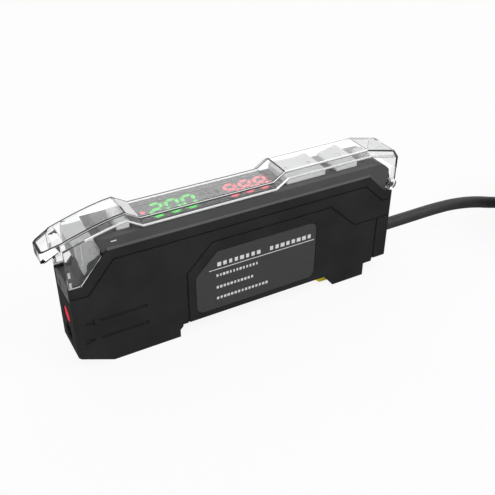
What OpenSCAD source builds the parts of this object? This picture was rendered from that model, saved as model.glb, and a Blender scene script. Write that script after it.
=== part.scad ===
// Fibre optic sensor amplifier: a slim DIN rail unit with a dark case, a grey
// control deck, a clear hinged dust cover and a moulded cable at the rear.
// X runs from the fibre end to the cable end, Y across the slim width, Z up.
// Shapes are drawn from the front face of the case, where x is 0, and moved as
// one by front_x so that the origin lies under the middle of the unit.

/* [Case] */
// Length of the case from the fibre face to the cable face
case_l = 75; // [74:0.5:80]
// Width of the case
case_w = 10; // [9.6:0.1:12]
// Thickness of the case's side walls
skin_t = 0.9; // [0.7:0.05:1]
// Thickness of the case's front and rear walls
end_t = 1.6; // [1.2:0.1:2]
// Thickness of the floor above the rail slot
floor_t = 1.2; // [0.8:0.1:1.5]
// Drop of the case's upper edge at the fibre end
front_drop = 6.4; // [6:0.1:7]
// Drop of the case's upper edge at the cable end
rear_drop = 5.1; // [5:0.1:5.6]
// Width of the moulded lines in the case's sides
line_w = 0.35; // [0.2:0.05:0.5]
// Depth of the moulded lines, the arrows and the label's pocket
line_depth = 0.25; // [0.15:0.05:0.3]

/* [Rail foot] */
// Height of the feet, which is the depth of the rail slot
foot_h = 3; // [2.6:0.1:3.4]
// Width of the rail that the unit clips on
rail_w = 35; // [34.8:0.1:35.2]
// Play of the rail between the feet
rail_play = 0.7; // [0.5:0.1:1]
// Room for the thickness of the rail's flange
flange_gap = 1.2; // [1.1:0.05:1.4]
// Reach of the fixed lip under the rail's flange
lip_reach = 1.1; // [0.8:0.1:1.4]
// Reach of the sprung latch under the rail's flange
latch_reach = 1.7; // [1.5:0.1:2.2]
// Width of the latch's guide
latch_w = 7; // [6:0.1:7.4]
// Travel of the latch
latch_travel = 2; // [1:0.1:2]

/* [Control deck] */
// Height of the deck above the case's upper edge
deck_h = 3; // [2.9:0.05:3.2]
// Thickness of the deck
deck_t = 1.15; // [1:0.05:1.3]
// Width of the deck
deck_w = 9.2; // [9.1:0.05:9.3]
// Thickness of the deck's side walls
rim_t = 0.75; // [0.6:0.05:0.8]
// Radius of the deck's rear corner
rear_r = 6.4; // [6:0.1:6.6]
// Width of the bar between the display window and the rocker
window_web = 1.6; // [1.5:0.1:3]
// Width of the display window
window_w = 7.8; // [7:0.1:7.8]
// Thickness of the display window
window_t = 0.7; // [0.5:0.05:0.8]
// Width of the push buttons; the mode button ends short of it on one side
button_w = 7.5; // [6.8:0.1:7.5]
// Height of the buttons above the deck
button_rise = 1.5; // [1:0.05:1.6]
// Clearance round a button in its hole
button_gap = 0.15; // [0.1:0.05:0.2]
// Travel of the push buttons
button_travel = 0.4; // [0.2:0.05:0.4]
// Travel of the slide knob
knob_travel = 1.5; // [1.2:0.1:1.6]

/* [Dust cover] */
// Height of the closed unit, to the cover's upper face over the buttons
cover_z = 32; // [30:0.1:36]
// Height of the cover's upper face over the buttons, above the deck
cover_rise = 3; // [2.9:0.05:3.4]
// Height of the cover's upper face over the display, above the deck
cover_low = 1.2; // [1.2:0.05:1.4]
// Drop of the cover's upper face at the fibre end
cover_drop = 3.1; // [2.8:0.05:3.2]
// Wall of the cover
cover_t = 0.55; // [0.5:0.05:0.75]
// Width of the cover's flat upper face
cover_top_w = 7; // [6.6:0.1:7.2]
// Height of the cover's sloping edge
cover_bevel_h = 1; // [0.9:0.05:1]
// Length of the pull tab
tab_l = 3.5; // [2.5:0.1:5]
// Thickness of the pull tab
tab_t = 2.2; // [1.5:0.1:2.5]
// Outer radius of the hinge eyes
eye_r = 1.3; // [1.1:0.05:1.3]
// Radius of the hinge pins
hinge_pin_r = 0.6; // [0.5:0.05:0.7]

/* [Fibre ports] */
// Radius of the bore that takes a fibre
fibre_r = 1.15; // [1.1:0.05:1.2]
// Outer radius of the rings in the front face
ring_r = 1.8; // [1.6:0.05:2]
// Widening of the rings round a fibre
ring_lead = 0.3; // [0.25:0.05:0.4]
// Height of the sending port
send_z = 10.9; // [10.6:0.1:11.2]
// Height of the receiving port
receive_z = 6.65; // [6.5:0.05:6.8]
// Depth of the fibre bores inside the guide block
bore_l = 12; // [10:0.5:14]

/* [Lock lever] */
// Radius of the lever's pin
lever_pin_r = 0.7; // [0.5:0.05:0.8]
// Width across the lever's two arms
lever_w = 7.3; // [7:0.1:7.4]
// Width of the nose that the lever straddles
nose_w = 5.2; // [4.6:0.1:5.3]

/* [Cable] */
// Diameter of the cable
cable_d = 3; // [2.6:0.1:3]
// Height of the cable's axis at the rear face
cable_z = 8.4; // [7.5:0.1:9]
// Mean radius of the stored coil
coil_r = 15.5; // [14:0.5:16.5]

/* [Fits] */
// Clearance between parts that are set into each other
set_gap = 0.1; // [0.05:0.01:0.12]
// Running clearance of pins in their holes
run_gap = 0.06; // [0.03:0.01:0.1]
// Clearance between the cover or the lever and what they move past
cover_gap = 0.2; // [0.15:0.05:0.25]
// Gap left over a switch when its button is pressed
press_gap = 0.1; // [0.05:0.01:0.12]
// Clearance of pins and cables that are pushed into their seats
seat_gap = 0.01; // [0:0.005:0.02]

/* [Hidden] */
$fn = 48;
eps = 0.01;

case_color = [0.15, 0.15, 0.155];
deck_color = [0.29, 0.29, 0.3];
label_color = [0.24, 0.24, 0.25];
control_color = [0.8, 0.8, 0.81];
clear_color = [0.85, 0.9, 0.93, 0.3];
board_color = [0.08, 0.32, 0.18];
steel_color = [0.7, 0.7, 0.72];

// Heights from the top of the closed unit down
deck_z = cover_z - cover_rise;
band_z = deck_z - deck_h;
front_z = band_z - front_drop;
rear_z = band_z - rear_drop;
cover_low_z = deck_z + cover_low;
cover_nose_z = cover_z - cover_drop;
cover_end_z = cover_z - 1.7;

half_w = case_w / 2;
inner_y = half_w - skin_t;
deck_y = deck_w / 2;
rim_y = deck_y - rim_t;
ceiling_z = deck_z - deck_t;

// Hinge of the dust cover, level with the lower part of the deck's rear corner
hinge_x = case_l - 0.6;
hinge_z = rear_z + eye_r + 0.4;
front_x = (tab_l - hinge_x - eye_r) / 2;

// Rail slot between the two feet
front_foot_x = 21.7;
foot_bump = 0.7;
slot_x = front_foot_x + foot_bump;
hook_x = slot_x + rail_w + rail_play;
hook_z = foot_h - 0.5;
hook_lead = 2.1;
rear_foot_l = 10.55;
rear_foot_x = hook_x + rear_foot_l;
lip_w = 6;
lip_x = front_foot_x + lip_reach;
grip_z = foot_h - flange_gap;
floor_z = foot_h + floor_t;

// Upper edge of the case: flat, rising, straight, falling, flat
front_flat = 2.6;
front_rise = 5.5;
rear_fall_x = case_l - 6.9;
rear_foot_of_fall = case_l - 3.4;
tail_x = case_l - 2.6;
tail_z = rear_z + 0.75;
lap_x = case_l - 1.8;
lap_z = rear_z + 0.3;
case_edge = [
    [case_l, rear_z],
    [lap_x, lap_z],
    [tail_x, tail_z],
    [rear_foot_of_fall, rear_z + 1.5],
    [rear_fall_x, band_z],
    [front_flat + front_rise, band_z],
    [front_flat, front_z],
    [0, front_z]
];

// Rear corner of the deck
deck_end = case_l - 0.3;
corner_x = deck_end - rear_r;
corner_z = deck_z - rear_r;

// Places of the controls along the deck
mode_x = 10.8;
mode_l = 2.5;
mode_y = 1.6;
window_x = mode_x + mode_l + 2.5;
knob_l = 2.4;
slide_l = knob_l + knob_travel + 2 * button_gap;
knob_w = 2.9;
slide_x = case_l - 5 - slide_l;
set_l = 5.2;
set_x = slide_x - set_l - 0.8;
rocker_l = 9.3;
rocker_x = set_x - rocker_l - 2.9;
window_l = rocker_x - window_web - window_x;
window_ledge = 0.8;
flange_t = 0.5;
flange_z = ceiling_z - set_gap - flange_t;
flange_reach = 0.5;
button_top = deck_z + button_rise;
rocker_pivot_x = rocker_x + rocker_l / 2;
rocker_pivot_z = ceiling_z - 0.35;
rocker_foot = 1.6;
trunnion_r = 0.35;
trunnion_l = 0.4;

// Circuit boards
board_t = 0.8;
switch_h = 0.5;
display_board_top = flange_z - button_travel - press_gap - switch_h;
display_board_z = display_board_top - board_t;
board_gap = 0.15;
main_board_x = 18.8;
main_board_end = case_l - 6.2;
main_board_y = -0.5;
chip_y = main_board_y + board_t / 2;
header_l = 10;
header_t = 2;
header_h = 2.4;
digit_t = 0.1;
window_z = deck_z - window_t;
module_l = window_l - 2 * (window_ledge + set_gap);
module_x = window_x + window_ledge + set_gap;
module_top = window_z - digit_t - 0.05;
module_y = window_w / 2 - 0.7;
digit_h = 5;
digit_gap = 0.8;
digit_stroke = 0.62;
digit_split = 0.18;
digit_slant = 0.15;
light_l = 2.3;
icon_l = 6.8;
row_margin = 0.5;
row_l = (module_l - light_l - icon_l - row_margin) / 2;
digit_w = (row_l - 2 * digit_gap) / 3;
digit_pitch = digit_w + digit_gap;

// Fibre guide block behind the front wall
block_x = end_t + set_gap;
diode_seat = 2;
block_l = bore_l + diode_seat;
block_h = 9.2;
diode_r = 1.5;
diode_l = 4.4;

// Lock lever and the nose that carries it
lever_pin_x = 5.9;
lever_pin_z = band_z + 0.2;
ledge_t = 1.2;
ledge_z = front_z - 0.2;
front_plate_z = send_z + 4.7;
wall_t = 1.2;
nose_z = lever_pin_z + 1;
cheek_y = 4.3;
cheek_t = 0.45;
front_wall_x = 8;

// Spring loaded latch in the rear foot
latch_tip_x = hook_x - latch_reach;
guide_end_x = rear_foot_x - 0.5;
spring_solid = 2.35;
spring_l = latch_travel + spring_solid;
latch_end_x = guide_end_x - spring_l;
guide_t = 0.6;
spring_r = 0.45;
spring_wire = 0.2;
spring_turns = 6;

// Cable route from the rear face: distance behind it, and height as a share of the drop to the floor
rear_x = case_l + front_x;
cable_low_z = 2;
cable_drop = [
    [-1.9, 1], [0.1, 1], [5, 1], [11, 1], [17, 1], [22, 0.97], [26, 0.905], [30, 0.795], [34, 0.64],
    [38, 0.45], [42, 0.28], [46, 0.14], [50, 0.03], [53.1, 0]
];
cable_route = [for (p = cable_drop) [rear_x + p[0], 0, cable_low_z + (cable_z - cable_low_z) * p[1]]];
coil_columns = 3;
coil_rows = 7;
coil_x = rear_x + 55.6;
coil_y = -coil_r - cable_d;
coil_z = 0.5;
coil_in = coil_r - coil_columns * cable_d / 2;
coil_out = coil_r + coil_columns * cable_d / 2;
coil_h = coil_rows * cable_d;

// Bare end: three leads, as shares of the coil's radius and heights over its upper side
lead_d = 1;
lead_paths = [
    [[0, 0.788, -1.5], [0.176, 0.77, -0.3], [0.353, 0.712, 0.5], [0.53, 0.606, 0.5], [0.66, 0.47, 0.5],
        [0.741, 0.306, 0.5]],
    [[0, 0.824, -0.5], [0.165, 0.83, 0.2], [0.353, 0.8, 0.5], [0.565, 0.694, 0.5], [0.741, 0.53, 0.5],
        [0.859, 0.33, 0.5]],
    [[0, 0.859, -1.5], [0.153, 0.894, -0.3], [0.353, 0.882, 0.5], [0.6, 0.776, 0.5], [0.824, 0.6, 0.5],
        [0.976, 0.376, 0.5]]
];
lead_routes = [for (path = lead_paths) [for (p = path)
    [coil_x + p[0] * coil_r, coil_y + p[1] * coil_r, coil_z + coil_h + p[2]]]];
lead_colors = [[0.35, 0.18, 0.08], [0.1, 0.25, 0.6], [0.06, 0.06, 0.06]];

function arc(cx, cz, r, from, to, steps) =
    [for (i = [0:steps]) let (a = from + (to - from) * i / steps) [cx + r * cos(a), cz + r * sin(a)]];

module from_front() translate([front_x, 0, 0]) children();

// A side view in X and Z, given thickness from y0 to y1
module slab(y0, y1) translate([0, y1, 0]) rotate([90, 0, 0]) linear_extrude(y1 - y0) children();

// The same on both sides of the unit
module both_sides() {
    children();
    mirror([0, 1, 0]) children();
}

// A round rod along Y at a place in the side view
module rod_y(x, z, r, y0, y1) translate([x, y1, z]) rotate([90, 0, 0]) cylinder(h = y1 - y0, r = r);

// A round rod along X at a height
module rod_x(x0, x1, z, r) translate([x0, 0, z]) rotate([0, 90, 0]) cylinder(h = x1 - x0, r = r);

module block(x0, x1, y0, y1, z0, z1) translate([x0, y0, z0]) cube([x1 - x0, y1 - y0, z1 - z0]);

// Sideways step at a corner of a line, long enough for a mitred corner
function unit(v) = v / norm(v);
function left_of(points, i) = let (step = unit(points[i + 1] - points[i])) [-step[1], step[0]];
function mitre(points, i) =
    let (n0 = left_of(points, max(i - 1, 0)), n1 = left_of(points, min(i, len(points) - 2)))
    (n0 + n1) / (1 + n0 * n1);

// A line of constant width through points in the side view
module line(points, width) {
    last = len(points) - 1;
    polygon([for (i = [0:last]) points[i] + mitre(points, i) * width / 2,
        for (i = [last:-1:0]) points[i] - mitre(points, i) * width / 2]);
}

// A solid through rings of corners, each running anticlockwise seen from the last one
module loft(rings) {
    n = len(rings[0]);
    last = len(rings) - 1;
    walls = [for (i = [0:last - 1], k = [0:n - 1])
        [i * n + k, (i + 1) * n + k, (i + 1) * n + (k + 1) % n, i * n + (k + 1) % n]];
    start = [for (k = [0:n - 1]) k];
    finish = [for (k = [0:n - 1]) last * n + n - 1 - k];
    polyhedron([for (r = rings) each r], [start, each walls, finish], convexity = 8);
}

// A round tube swept along points
function heading(points, i) = unit(points[min(i + 1, len(points) - 1)] - points[max(i - 1, 0)]);
function ring(centre, along, r, sides) =
    let (across = unit(cross([0, 0, 1], along)), up = cross(along, across))
    [for (k = [0:sides - 1]) centre + r * (cos(360 * k / sides) * across + sin(360 * k / sides) * up)];
module tube(points, r, sides)
    loft([for (i = [0:len(points) - 1]) ring(points[i], heading(points, i), r, sides)]);

// Case

module case_outline() polygon(concat([
    [0, foot_h], [7, 0], [front_foot_x, 0], [front_foot_x, grip_z],
    [slot_x, grip_z + foot_bump], [slot_x, foot_h], [hook_x + 0.8, foot_h], [hook_x, hook_z],
    [hook_x + hook_lead, 0], [rear_foot_x, 0], [rear_foot_x, foot_h + 0.15],
    [rear_foot_x + 2.2, foot_h + 0.15], [rear_foot_x + 2.3, foot_h + 0.85], [case_l, foot_h + 0.85]
], case_edge));

// Label on one side, centred between the feet
label_l = rail_w - 6;
label_x = slot_x + 3.3;
label_z = 4.3;
label_h = band_z - label_z - 7.4;
label_cut = 5;
label_r = 1.7;
label_end = label_x + label_l;
label_top = label_z + label_h;

// Moulded lines that follow the upper edge and frame the label
module case_lines() {
    drop = 2.15;
    rear_line = 1.8;
    line([[-1, front_z - drop], [front_flat + 0.9, front_z - drop - 0.2],
        [front_flat + front_rise + 1, band_z - drop], [rear_fall_x - 0.9, band_z - drop],
        [rear_foot_of_fall + 0.6, rear_z - rear_line], [case_l + 1, rear_z - rear_line]], line_w);
    frame_x = label_x - 1.9;
    frame_z = label_top - 3.8;
    corner = 5.8;
    line([[frame_x, foot_h], [frame_x, frame_z + 0.6], [frame_x + corner, frame_z + 0.6 + corner],
        [label_end + 3.6, frame_z + 0.6 + corner], [label_end + 10.3, frame_z],
        [case_l + 1, frame_z]], line_w);
    line([[case_l - 3.8, frame_z], [case_l - 3.8, foot_h]], line_w);
}

// One outgoing and one incoming arrow beside the fibre ports
module port_arrows() {
    tip = 1.9;
    wide = 2.1;
    translate([0, send_z]) polygon([[tip, 0], [tip + wide, wide / 2.8], [tip + wide, -wide / 2.8]]);
    translate([0, receive_z]) polygon([[tip + wide, 0], [tip, wide / 2.8], [tip, -wide / 2.8]]);
    for (z = [send_z, receive_z]) translate([5.15, z - 0.35]) square([9.8, 0.7]);
}

module label_outline(grow) {
    r = label_r + grow;
    x0 = label_x - grow;
    x1 = label_end + grow;
    z0 = label_z - grow;
    z1 = label_top + grow;
    polygon(concat(arc(x0 + r, z0 + r, r, 180, 270, 6), arc(x1 - r, z0 + r, r, 270, 360, 6),
        arc(x1 - r, z1 - r, r, 0, 90, 6), [[x0 + label_cut, z1], [x0, z1 - label_cut]]));
}

module case_plan() {
    c = 0.4;
    polygon([[0, -half_w + c], [c, -half_w], [case_l - c, -half_w], [case_l, -half_w + c],
        [case_l, half_w - c], [case_l - c, half_w], [c, half_w], [0, half_w - c]]);
}

// Guide of the latch: a narrow slot through the foot's sole, wider above it
module latch_guide() {
    wide = latch_w / 2 + set_gap;
    block(hook_x - 1, guide_end_x, guide_t - wide, wide - guide_t, -1, guide_t + eps);
    block(hook_x - 1, guide_end_x, -wide, wide, guide_t, grip_z + set_gap);
}

module case_shell() color(case_color) from_front() {
    difference() {
        intersection() {
            slab(-half_w, half_w) case_outline();
            linear_extrude(60) case_plan();
        }
        block(end_t, case_l - end_t, -inner_y, inner_y, floor_z, 60);
        block(-1, end_t + eps, -inner_y, inner_y, front_plate_z, 60);
        for (z = [send_z, receive_z]) rod_x(-1, end_t + 1, z, ring_r + set_gap);
        rod_x(case_l - end_t - 1, case_l + 1, cable_z, bushing_r + set_gap);
        both_sides() slab(half_w - line_depth, half_w + 1) case_lines();
        slab(-half_w - 1, -half_w + line_depth) {
            port_arrows();
            label_outline(set_gap);
        }
        latch_guide();
    }
    slab(-lip_w / 2, lip_w / 2)
        polygon([[front_foot_x - eps, 0.3], [lip_x - 0.5, 0.3], [lip_x, 0.8], [lip_x, grip_z],
            [front_foot_x - eps, grip_z]]);
}

module label_plate() color(label_color) from_front()
    slab(-half_w + 0.05, -half_w + line_depth) label_outline(0);

// Upper housing

cheek_x = 6.2;
taper_end = 8.1;
module deck_outline() polygon(concat(
    [[cheek_x, deck_z], [cheek_x + 1.2, band_z - 0.8], [front_flat + front_rise, band_z],
        [rear_fall_x, band_z], [rear_foot_of_fall, rear_z + 1.5], [tail_x, tail_z], [lap_x, lap_z],
        [deck_end, rear_z + (lap_z - rear_z) * (case_l - deck_end) / (case_l - lap_x)]],
    arc(corner_x, corner_z, rear_r, 0, 90, 12)));

// The strip along the case's edge stops a little before the fall's lower end
strip_end = [rear_fall_x, band_z]
    + ([rear_foot_of_fall, rear_z + 1.5] - [rear_fall_x, band_z]) * 0.9;

// Plan of the deck, drawn in towards the lever at the fibre end
module deck_plan() {
    x0 = cheek_x + 0.2;
    polygon([[0, -cheek_y], [x0, -cheek_y], [taper_end, -deck_y], [case_l, -deck_y],
        [case_l, deck_y], [taper_end, deck_y], [x0, cheek_y], [0, cheek_y]]);
}

// Section of the deck, with its upper edges cut at an angle
deck_cut = 0.7;
module deck_section() {
    c = deck_cut;
    polygon([[-deck_y, 0], [deck_y, 0], [deck_y, deck_z - c], [deck_y - c, deck_z], [c - deck_y, deck_z],
        [-deck_y, deck_z - c]]);
}

// A sloping strip along the case's upper edge, out to the case's full width, mitred at its corner
module edge_strip(points) {
    strip_h = half_w - deck_y;
    loft([for (i = [0:len(points) - 1]) let (p = points[i], q = p + mitre(points, i) * strip_h)
        [[p[0], deck_y, p[1]], [p[0], half_w, p[1]], [q[0], deck_y, q[1]]]]);
}

// Nose between the arms of the lever, with the ledge under it and the plate in front
module lever_nose() {
    x1 = front_wall_x + wall_t;
    y1 = inner_y - set_gap;
    z0 = ledge_z - ledge_t;
    slab(-nose_w / 2, nose_w / 2) polygon([[front_flat, z0], [front_flat, ledge_z],
        [lever_pin_x - 1.7, lever_pin_z - 2.8], [lever_pin_x - 1.1, nose_z - 0.6],
        [lever_pin_x - 0.5, nose_z], [x1, nose_z], [x1, z0]]);
    block(set_gap, x1, -y1, y1, z0, ledge_z);
    block(set_gap, end_t, -y1, y1, front_plate_z + set_gap, ledge_z);
}

// A hole up through the deck, with a gap round what stands in it
module hole(x, l, y, gap, z) block(x - gap, x + l + gap, -y - gap, y + gap, z, deck_z + 1);

// Oval slot in the front plate, beside the middle
slot_y = 1.7;
slot_r = 0.65;
slot_low_z = front_plate_z + 1.2;
slot_high_z = ledge_z - ledge_t - 0.6;
module plate_slot() {
    for (z = [slot_low_z, slot_high_z]) translate([0, slot_y, 0]) rod_x(-1, end_t + 1, z, slot_r);
    block(-1, end_t + 1, slot_y - slot_r, slot_y + slot_r, slot_low_z, slot_high_z);
}

module upper_housing() color(deck_color) from_front() {
    difference() {
        union() {
            intersection() {
                slab(-deck_y, deck_y) deck_outline();
                linear_extrude(60) deck_plan();
                translate([-1, 0, 0]) rotate([90, 0, 90]) linear_extrude(case_l + 2) deck_section();
            }
            for (x = [[front_wall_x, front_wall_x + wall_t], [tail_x, case_l - end_t - set_gap]])
                block(x[0], x[1], set_gap - inner_y, inner_y - set_gap, ledge_z - ledge_t, band_z + 0.5);
            both_sides() edge_strip([[taper_end, band_z], [rear_fall_x, band_z], strip_end]);
            lever_nose();
        }
        plate_slot();
        // Hollow over the boards, and the bay of the lever
        slab(-rim_y, rim_y) polygon(concat([[tail_x, 0], [tail_x, corner_z]],
            arc(corner_x, corner_z, rear_r - deck_t, 45, 90, 6),
            [[front_wall_x + wall_t, ceiling_z], [front_wall_x + wall_t, 0]]));
        both_sides() block(0, front_wall_x, nose_w / 2, cheek_y - cheek_t, ledge_z, 40);
        block(0, front_wall_x, -nose_w / 2 - eps, nose_w / 2 + eps, nose_z, 40);
        rod_y(lever_pin_x, lever_pin_z, lever_pin_r + seat_gap, -nose_w, nose_w);
        // Seat of the window and the holes of the controls
        hole(window_x, window_l, window_w / 2, set_gap, window_z);
        hole(module_x, module_l, module_y, set_gap, ceiling_z - 1);
        block(mode_x - button_gap, mode_x + mode_l + button_gap, -button_w / 2 - button_gap,
            mode_y + button_gap, ceiling_z - 1, deck_z + 1);
        for (c = [[rocker_x, rocker_l], [set_x, set_l]])
            hole(c[0], c[1], button_w / 2, button_gap, ceiling_z - 1);
        hole(slide_x + button_gap, knob_l + knob_travel, knob_w / 2, button_gap, ceiling_z - 1);
        rod_y(rocker_pivot_x, rocker_pivot_z, trunnion_r + run_gap, -trunnion_y, trunnion_y);
        // Recess for the cover's hinge eyes and arms
        both_sides() {
            rod_y(hinge_x, hinge_z, eye_r + cover_gap, eye_y - cover_gap, half_w + 1);
            block(hinge_x - eye_r + 0.3, case_l + 1, eye_y - cover_gap, half_w + 1, hinge_z, hinge_z + 5);
        }
    }
    both_sides() rod_y(hinge_x, hinge_z, hinge_pin_r, rim_y - 0.5, half_w - 0.15);
}

// Display and boards

module display_window() color([0.12, 0.12, 0.13, 0.8]) from_front()
    block(window_x, window_x + window_l, -window_w / 2, window_w / 2, window_z, deck_z);

module display_board() color(board_color) from_front()
    block(front_wall_x + wall_t + 0.4, case_l - 4.4, board_gap - rim_y, rim_y - board_gap,
        display_board_z, display_board_top);

module display_module() color([0.05, 0.05, 0.05]) from_front()
    block(module_x, module_x + module_l, -module_y, module_y, display_board_top, module_top);

// Bars of a slanted digit: top, upper right, lower right, bottom, lower left, upper left, middle
digit_bars = [
    [0, 1, 0], [0.5, 0.5, 90], [0.5, -0.5, 90], [0, -1, 0], [-0.5, -0.5, 90], [-0.5, 0.5, 90], [0, 0, 0]
];
digit_two = [0, 1, 3, 4, 6];
digit_zero = [0, 1, 2, 3, 4, 5];
module digit(bars) {
    reach = [digit_w - digit_stroke, (digit_h - digit_stroke) / 2];
    for (b = bars) {
        bar = digit_bars[b];
        l = (bar[2] == 0 ? reach[0] : reach[1]) / 2 - digit_split;
        s = digit_stroke / 2;
        outline = [[-l, 0], [s - l, s], [l - s, s], [l, 0], [l - s, -s], [s - l, -s]];
        polygon([for (p = outline)
            let (q = [bar[0] * reach[0], bar[1] * reach[1]] + (bar[2] == 0 ? p : [-p[1], p[0]]))
            [q[0] + digit_slant * q[1], q[1]]]);
    }
}
module digit_row(x, digits) from_front() translate([x, 0, module_top]) linear_extrude(digit_t)
    for (i = [0:len(digits) - 1]) translate([digit_w / 2 + i * digit_pitch, 0]) digit(digits[i]);

green_x = module_x + light_l;
red_x = green_x + row_l + icon_l;
module green_digits() color([0.3, 0.95, 0.35]) digit_row(green_x, [digit_two, digit_zero, digit_zero]);
module red_digits() color([1, 0.35, 0.42]) digit_row(red_x, [digit_zero, digit_zero, digit_zero]);

module output_led() color([1, 0.35, 0.42]) from_front()
    translate([module_x + 0.7, 0, module_top]) cylinder(h = digit_t, r = 0.5);

// Low switches under the buttons: one for the mode, two for the rocker, one to set
module tact_switches() color([0.16, 0.16, 0.17]) from_front()
    for (x = [mode_x + mode_l / 2, rocker_x + rocker_foot, rocker_x + rocker_l - rocker_foot,
        set_x + set_l / 2]) {
        block(x - 1.1, x + 1.1, -1.4, 1.4, display_board_top, display_board_top + switch_h - 0.2);
        translate([x, 0, display_board_top]) cylinder(h = switch_h, r = 0.7);
    }

module slide_switch_body() color(steel_color) from_front()
    block(slide_x - 0.2, slide_x + slide_l + 0.2, -1.6, 1.6, display_board_top, flange_z - press_gap);

module main_board() color(board_color) from_front()
    block(main_board_x, main_board_end, chip_y - board_t, chip_y, floor_z, display_board_z - board_gap);

module board_chips() color([0.07, 0.07, 0.08]) from_front()
    for (c = [[8, 9, 6, 6, 1.2], [19, 11, 7, 5, 1.4], [31, 8, 5, 4, 1], [40, 12, 4, 6, 1.6]])
        translate([main_board_x + c[0], chip_y, c[1]]) cube([c[2], c[4], c[3]]);

module board_header() color([0.1, 0.1, 0.1]) from_front()
    translate([main_board_x + 15, chip_y, display_board_z - header_h]) cube([header_l, header_t, header_h]);

// Fibre guide, ports and the light parts behind them

module fibre_block() color([0.1, 0.1, 0.1]) from_front() difference() {
    block(block_x, block_x + block_l, set_gap - inner_y, inner_y - set_gap, floor_z, floor_z + block_h);
    for (z = [send_z, receive_z]) {
        rod_x(block_x - 1, block_x + block_l + 1, z, fibre_r);
        rod_x(block_x + bore_l, block_x + block_l + 1, z, diode_r + set_gap / 2);
    }
}

module port_ring(z) from_front() difference() {
    rod_x(0.2, block_x, z, ring_r);
    rod_x(-1, block_x + 1, z, fibre_r + ring_lead);
}
module send_ring() color([0.93, 0.27, 0.33]) port_ring(send_z);
module receive_ring() color([0.08, 0.08, 0.08]) port_ring(receive_z);

module diode(z) from_front() rod_x(block_x + bore_l, block_x + bore_l + diode_l, z, diode_r);
module emitter_led() color([0.95, 0.3, 0.3]) diode(send_z);
module receiver_diode() color([0.2, 0.2, 0.24]) diode(receive_z);

// Lock lever: two arms beside the nose, joined by a pad over it

module lever_side() translate([lever_pin_x, lever_pin_z]) polygon([[-3.3, 2], [-3.35, -0.7], [-2.85, -2.4],
    [-2.8, -3.3], [-2.3, -4.9], [-1.7, -4.2], [-1.6, -3], [-1.3, -2.4], [0, -1.9], [1.2, -1.1], [1.4, -0.4],
    [0.4, 2]]);

module lock_lever() color(control_color) from_front() difference() {
    arm_y = nose_w / 2 + cover_gap;
    slab(-lever_w / 2, lever_w / 2) lever_side();
    block(0, front_wall_x, -arm_y, arm_y, ledge_z, nose_z + cover_gap);
    rod_y(lever_pin_x, lever_pin_z, lever_pin_r + run_gap, -half_w, half_w);
}

module lever_pin() color(steel_color) from_front()
    rod_y(lever_pin_x, lever_pin_z, lever_pin_r, -lever_w / 2, lever_w / 2);

// Buttons

// A button from the near side across to far_y, on a flange that keeps it under the deck
module push_button(x, l, far_y, top) from_front() {
    flange_y = rim_y - set_gap;
    slab(-button_w / 2, far_y) polygon(concat([[x, flange_z], [x + l, flange_z]], top));
    block(x - flange_reach, x + l + flange_reach, -flange_y, flange_y, flange_z, flange_z + flange_t);
}

module mode_button() color(control_color)
    push_button(mode_x, mode_l, mode_y, [[mode_x + mode_l, button_top - 0.4],
        [mode_x + mode_l - 0.4, button_top], [mode_x + 0.4, button_top], [mode_x, button_top - 0.4]]);

module set_button() color(control_color)
    push_button(set_x, set_l, button_w / 2, [[set_x + set_l, button_top - 0.4],
        [set_x + set_l - 0.4, button_top], [set_x + set_l - 1, button_top], [set_x + 0.5, button_top - 0.8],
        [set_x, button_top - 1.1]]);

// Rocker with a hollow upper face, hung on two trunnions in the deck's side walls
trunnion_y = rim_y + trunnion_l;
rocker_edge = 0.4;
rocker_dip = 0.4;
rocker_half = rocker_l / 2 - rocker_edge;
rocker_r = (pow(rocker_half, 2) + pow(rocker_dip, 2)) / (2 * rocker_dip);
rocker_turn = asin(rocker_half / rocker_r);
rocker_low_z = ceiling_z + 0.1;
module rocker_button() color(control_color) from_front() {
    end = rocker_x + rocker_l;
    hollow = arc(rocker_pivot_x, button_top - rocker_dip + rocker_r, rocker_r,
        270 + rocker_turn, 270 - rocker_turn, 12);
    slab(-button_w / 2, button_w / 2) polygon(concat(
        [[rocker_x, rocker_low_z], [end, rocker_low_z], [end, button_top - rocker_edge]],
        hollow, [[rocker_x, button_top - rocker_edge]]));
    for (x = [rocker_x + rocker_foot, end - rocker_foot])
        block(x - 0.6, x + 0.6, -1, 1, display_board_top + switch_h + 2 * press_gap, rocker_low_z + 0.1);
    slab(-button_w / 2, button_w / 2) translate([rocker_pivot_x, rocker_pivot_z])
        polygon([[-0.9, 0], [-0.5, -0.5], [0.5, -0.5], [0.9, 0], [0.9, 1], [-0.9, 1]]);
    rod_y(rocker_pivot_x, rocker_pivot_z, trunnion_r, run_gap - trunnion_y, trunnion_y - run_gap);
}

// Slide knob at the rear end of its slot, with three grip ribs
knob_x = slide_x + slide_l - knob_l - button_gap;
knob_rib = 0.4;
module slide_knob() color(control_color) from_front() {
    block(knob_x, knob_x + knob_l, -knob_w / 2, knob_w / 2, flange_z, deck_z + 0.5);
    for (i = [0:2]) translate([knob_x + 0.1 + i * (knob_l - 0.2 - knob_rib) / 2, -knob_w / 2, deck_z])
        cube([knob_rib, knob_w, 0.9]);
    foot_y = knob_w / 2 + 0.55;
    block(knob_x - 0.3, knob_x + knob_l + 0.1, -foot_y, foot_y, flange_z, flange_z + 0.2);
}

// Dust cover

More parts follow.
